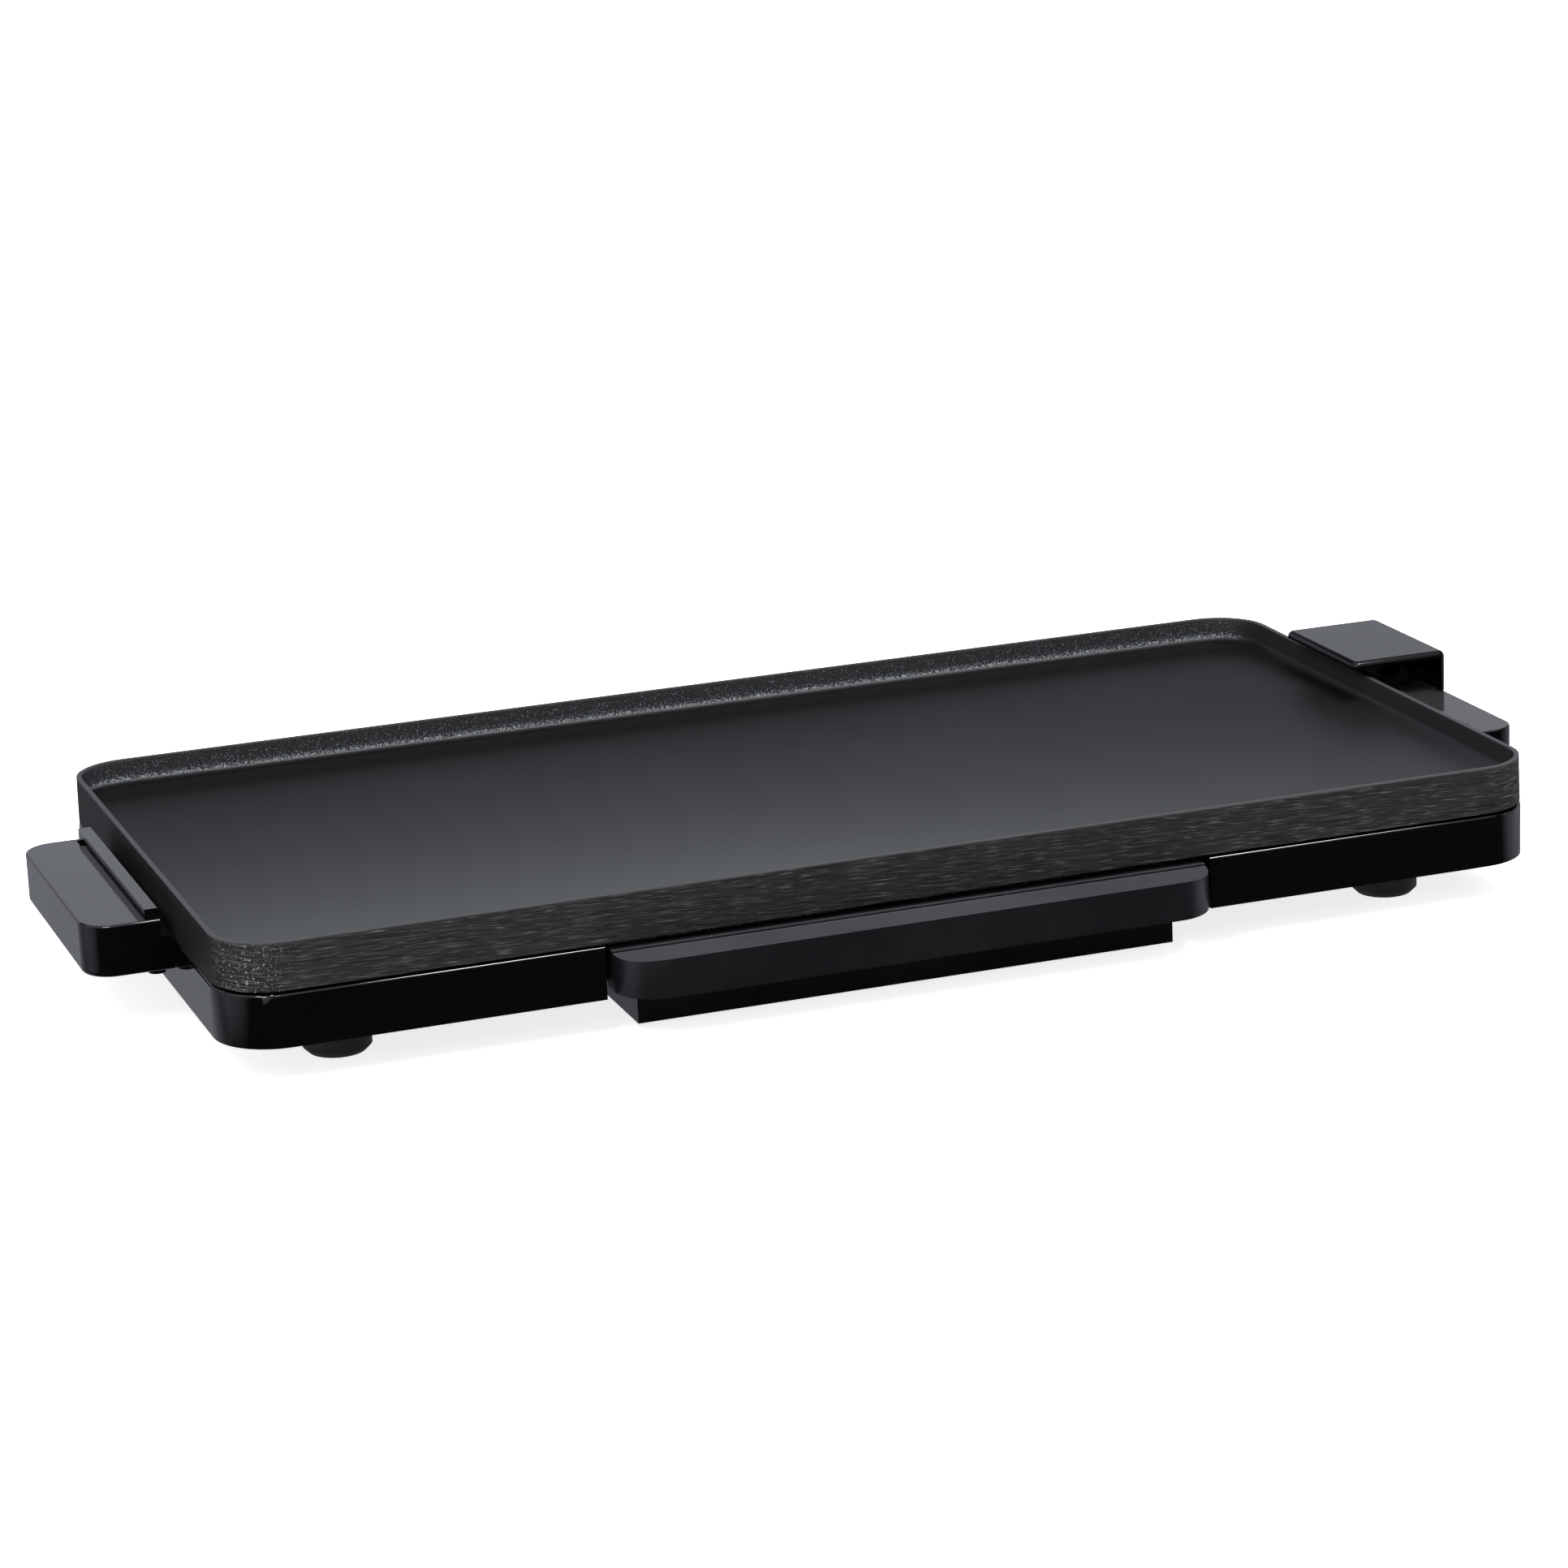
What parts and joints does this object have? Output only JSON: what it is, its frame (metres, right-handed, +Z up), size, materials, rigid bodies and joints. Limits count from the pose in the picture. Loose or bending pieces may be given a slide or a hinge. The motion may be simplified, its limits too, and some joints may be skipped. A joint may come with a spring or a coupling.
{
  "type": "electric griddle",
  "caption": "Table-top electric griddle: a flat rimmed non-stick plate on a slim base with side handles, feet, a hooded control socket and a front drip tray.",
  "frame": {"origin": "bottom centre of the whole griddle's box, on the surface that its feet stand on", "axes": "+X along the griddle's length towards the control socket, +Y to the rear, away from the drip tray, +Z up"},
  "size_m": [0.542, 0.2674, 0.0583],
  "materials": {
    "nonstick": "satin non-stick coating on cast aluminium",
    "sheath_steel": "heat-darkened steel tube",
    "zinc_steel": "zinc-plated steel",
    "brass": "plain brass strip",
    "ceramic": "unglazed ceramic",
    "phenolic": "moulded heat-resistant phenolic",
    "gloss_black": "high-gloss black",
    "satin_black": "fine-textured satin black",
    "tray_enamel": "black enamel",
    "rubber": "matt rubber",
    "silicone": "heat-resistant silicone",
    "reflector": "bright rolled sheet"
  },
  "bodies": {
    "base": {"base_housing": "gloss_black", "plate_supports": "silicone", "heat_reflector": "reflector", "reflector_screws": "zinc_steel", "left_handle": "gloss_black", "right_handle": "gloss_black", "handle_screws": "zinc_steel", "tray_rail_left": "satin_black", "tray_rail_right": "satin_black", "rail_screws": "zinc_steel", "foot_front_left": "rubber", "foot_front_right": "rubber", "foot_rear_left": "rubber", "foot_rear_right": "rubber", "foot_screws": "zinc_steel"},
    "tray": {"drip_tray": "tray_enamel", "drip_tray_handle": "satin_black", "tray_handle_screws": "zinc_steel"},
    "plate": {"griddle_plate": "nonstick", "heating_element": "sheath_steel", "element_seals": "ceramic", "element_terminals": "zinc_steel", "terminal_straps": "brass", "contact_pins": "zinc_steel", "probe_sleeve": "zinc_steel", "socket_block": "phenolic", "earth_contact": "brass", "socket_cover": "satin_black", "socket_hood": "gloss_black", "hood_screws": "zinc_steel"}
  },
  "joints": [
    {"name": "tray_slide", "type": "slide", "parent": "base", "child": "tray", "axis": [0, -1, 0], "range_m": [0, 0.12]},
    {"name": "plate_lift", "type": "slide", "parent": "base", "child": "plate", "axis": [0, 0, 1], "range_m": [0, 0.1]}
  ]
}
